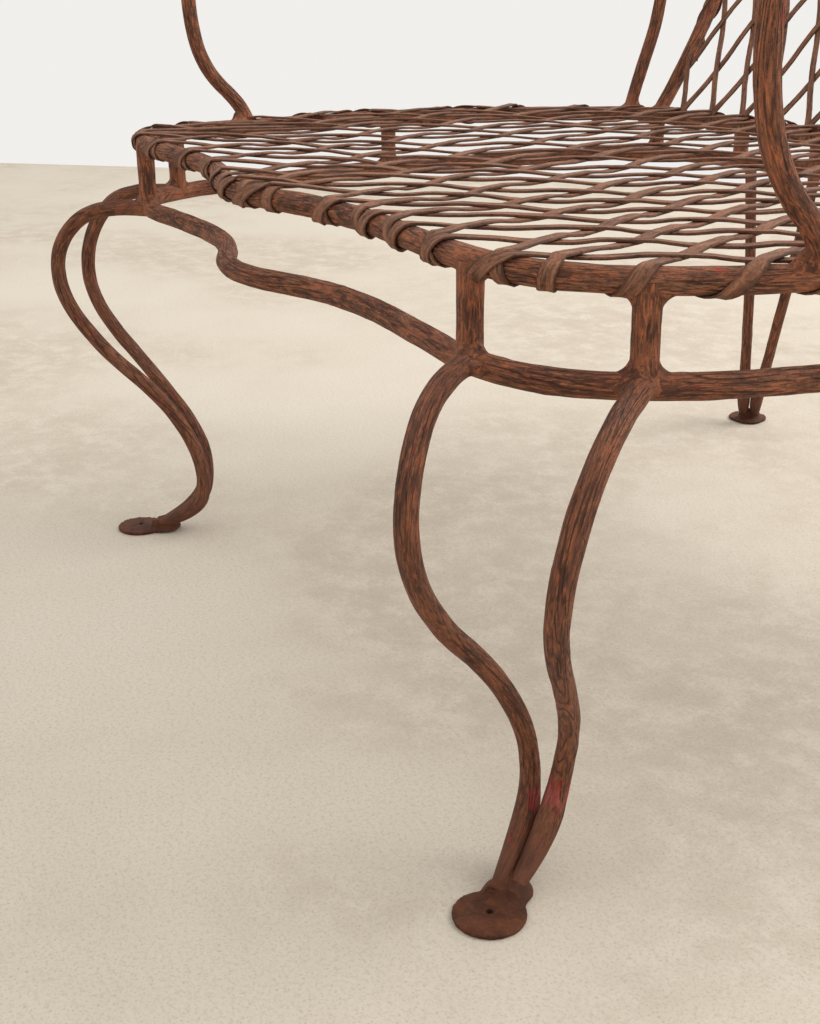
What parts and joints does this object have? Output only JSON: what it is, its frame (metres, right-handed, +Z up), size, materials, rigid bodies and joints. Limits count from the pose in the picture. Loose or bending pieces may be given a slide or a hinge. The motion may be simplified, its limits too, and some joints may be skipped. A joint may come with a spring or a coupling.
{
  "type": "garden armchair",
  "caption": "Wide open garden armchair of bent round iron rods on S-shaped twin-rod legs, with a raked seat and leaning back of woven flat iron strap",
  "frame": {"origin": "on the floor, under the middle of the chair's box", "axes": "+Z is up, the front of the chair looks along -Y, and +X is the sitter's left"},
  "size_m": [0.7808, 0.8368, 0.8201],
  "materials": {
    "seat_rail_iron": "rusty brown round rod with lengthwise bark-like grain",
    "apron_rail_iron": "rusty brown round rod with lengthwise bark-like grain and traces of red paint",
    "post_iron": "rusty brown round rod with knots in its grain",
    "leg_iron": "rusty brown bark-grained rod, worn, with patches of old red paint",
    "foot_iron": "smooth dark brown rust",
    "arm_iron": "rusty brown round rod with lengthwise grain",
    "back_frame_iron": "rusty brown round rod with lengthwise grain",
    "strap_iron": "grey-brown rusty flat strap, dark at its edges"
  },
  "bodies": {
    "root": {"seat_front_rail": "seat_rail_iron", "seat_left_rail": "seat_rail_iron", "seat_right_rail": "seat_rail_iron", "seat_rear_rail": "seat_rail_iron", "apron_front_rail": "apron_rail_iron", "apron_left_rail": "apron_rail_iron", "apron_right_rail": "apron_rail_iron", "apron_rear_rail": "apron_rail_iron", "front_post_left": "post_iron", "front_post_right": "post_iron", "corner_post_left": "post_iron", "corner_post_right": "post_iron", "side_post_left": "post_iron", "side_post_right": "post_iron", "rear_corner_post_left": "post_iron", "rear_corner_post_right": "post_iron", "rear_outer_post_left": "post_iron", "rear_outer_post_right": "post_iron", "rear_inner_post_left": "post_iron", "rear_inner_post_right": "post_iron", "front_inner_leg_left": "leg_iron", "front_inner_leg_right": "leg_iron", "front_outer_leg_left": "leg_iron", "front_outer_leg_right": "leg_iron", "rear_outer_leg_left": "leg_iron", "rear_outer_leg_right": "leg_iron", "rear_inner_leg_left": "leg_iron", "rear_inner_leg_right": "leg_iron", "front_foot_left": "foot_iron", "front_foot_right": "foot_iron", "rear_foot_left": "foot_iron", "rear_foot_right": "foot_iron", "left_arm": "arm_iron", "right_arm": "arm_iron", "back_frame": "back_frame_iron", "seat_straps_first": "strap_iron", "seat_straps_second": "strap_iron", "back_straps_first": "strap_iron", "back_straps_second": "strap_iron"}
  },
  "joints": []
}
